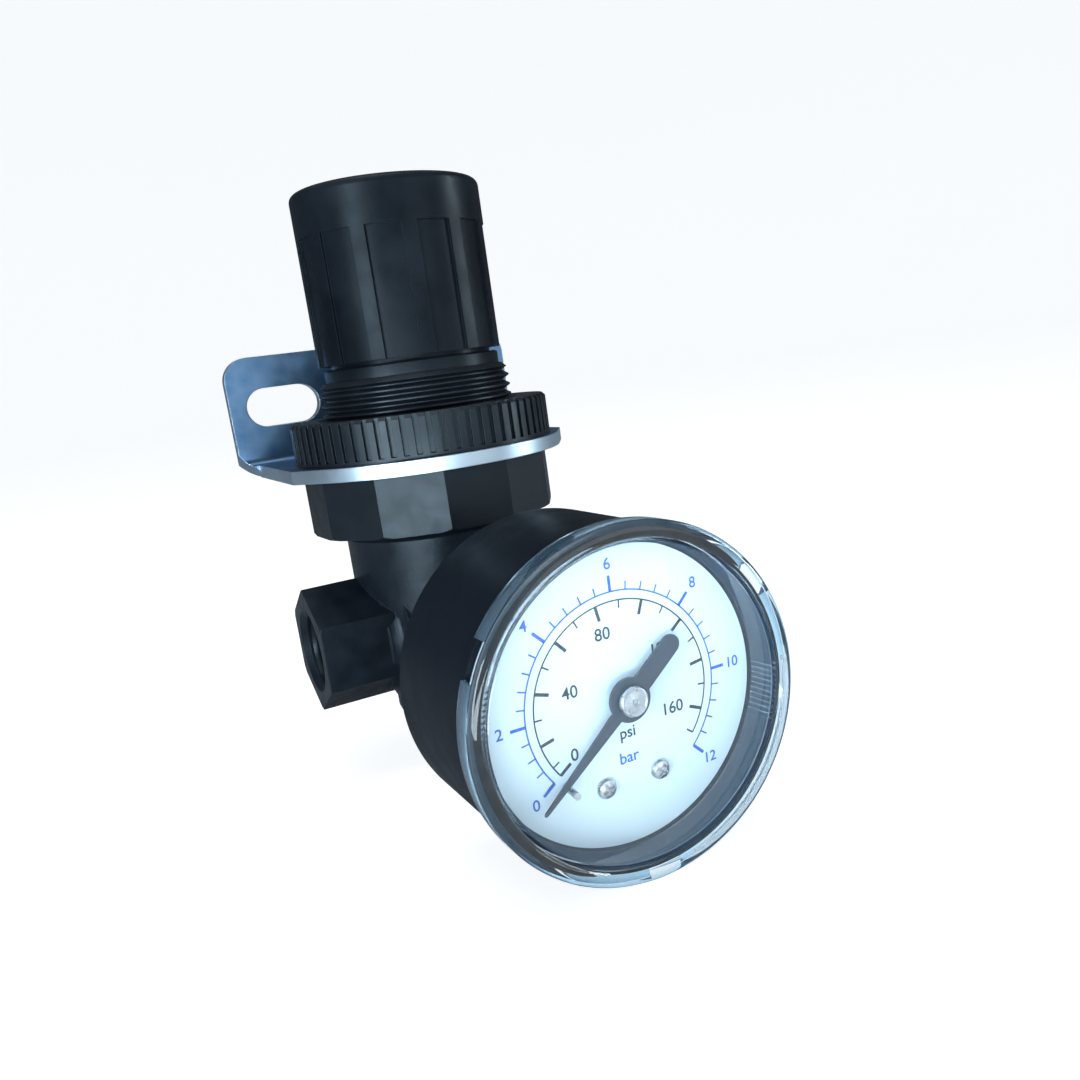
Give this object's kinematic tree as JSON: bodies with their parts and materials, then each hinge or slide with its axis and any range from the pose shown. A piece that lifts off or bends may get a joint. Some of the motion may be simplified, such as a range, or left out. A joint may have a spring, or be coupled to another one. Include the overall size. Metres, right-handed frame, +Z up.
{
  "type": "air pressure regulator",
  "caption": "Compact panel-mount air pressure regulator: ribbed knob, threaded bonnet with knurled nut, slotted angle bracket, hexagonal ports and a round dial gauge.",
  "frame": {"origin": "midpoint between the bracket's two slots, on the flange face that goes against a wall", "axes": "+Z up along the knob's axis, +Y out of the bracket's back towards the wall, the gauge faces -Y, the ports lie along X"},
  "size_m": [0.0504, 0.0849, 0.0893],
  "materials": {
    "black_coat": "satin black baked coat over die-cast metal",
    "zinc_steel": "zinc-plated sheet steel",
    "black_plastic": "moulded black plastic, fine satin grain",
    "case_black": "semi-gloss black",
    "brass": "turned brass",
    "steel": "turned steel",
    "spring_steel": "oiled spring steel",
    "rubber": "nitrile rubber",
    "clear": "clear moulded window",
    "dial_white": "matt white with printed scales",
    "pointer_black": "black enamel",
    "aluminium": "turned"
  },
  "bodies": {
    "regulator": {"body": "black_coat", "rear_port_plug": "steel", "valve_seat": "brass", "valve_spring": "spring_steel", "bottom_plug": "black_plastic", "plug_seal": "rubber", "diaphragm": "rubber", "main_spring": "spring_steel", "bonnet": "black_plastic", "thrust_washer": "steel", "panel_nut": "black_plastic", "mounting_bracket": "zinc_steel", "gauge_socket": "brass", "gauge_case": "case_black", "window_gasket": "rubber", "gauge_window": "clear", "gauge_dial": "dial_white", "dial_screws": "steel", "stop_pin": "steel", "movement_back_plate": "brass", "movement_front_plate": "brass", "movement_pillars": "brass", "bourdon_tube": "brass", "tube_tip": "brass", "hairspring": "brass"},
    "adjusting_screw": {"adjusting_screw": "steel", "screw_clip": "steel"},
    "knob": {"knob": "black_plastic"},
    "spring_seat": {"spring_seat": "steel"},
    "diaphragm_plate": {"diaphragm_plate": "aluminium", "relief_seat": "brass"},
    "valve": {"valve_poppet": "brass", "valve_seal": "rubber"},
    "pointer": {"pointer": "pointer_black", "pointer_cap": "steel", "pinion_shaft": "steel"},
    "sector": {"sector_gear": "brass"},
    "link": {"link": "steel"}
  },
  "joints": [
    {"name": "screw_turn", "type": "hinge", "parent": "regulator", "child": "adjusting_screw", "pos_m": [0, -0.0235, 0.012], "axis": [0, 0, 1], "range_deg": [-2160, 0]},
    {"name": "knob_lock", "type": "slide", "parent": "adjusting_screw", "child": "knob", "axis": [0, 0, 1], "range_m": [-0.0005, 0]},
    {"name": "spring_seat_travel", "type": "slide", "parent": "regulator", "child": "spring_seat", "axis": [0, 0, 1], "range_m": [-0.0075, 0], "deforming": ["main_spring"]},
    {"name": "diaphragm_travel", "type": "slide", "parent": "regulator", "child": "diaphragm_plate", "axis": [0, 0, 1], "range_m": [-0.001, 0], "stiffness_N_per_m": 300, "springref_m": 0.0002, "deforming": ["diaphragm"]},
    {"name": "valve_travel", "type": "slide", "parent": "regulator", "child": "valve", "axis": [0, 0, 1], "range_m": [-0.001, 0], "stiffness_N_per_m": 500, "springref_m": 0.00012, "deforming": ["valve_spring"]},
    {"name": "pointer_turn", "type": "hinge", "parent": "regulator", "child": "pointer", "pos_m": [0, -0.08, -0.0376], "axis": [0, 1, 0], "range_deg": [0, 264]},
    {"name": "sector_turn", "type": "hinge", "parent": "regulator", "child": "sector", "pos_m": [0.00516, -0.0746, -0.04731], "axis": [0, 1, 0], "range_deg": [-26.5, 0]},
    {"name": "link_travel", "type": "slide", "parent": "regulator", "child": "link", "axis": [0.2329, 0, 0.9725], "range_m": [0, 0.0021], "stiffness_N_per_m": 200}
  ],
  "couplings": [
    {"joint": "screw_turn", "follows": "spring_seat_travel", "rad_per_m": 5026.5},
    {"joint": "valve_travel", "follows": "diaphragm_travel", "ratio": 1},
    {"joint": "pointer_turn", "follows": "link_travel", "rad_per_m": 2194.1},
    {"joint": "sector_turn", "follows": "link_travel", "rad_per_m": -219.41}
  ]
}
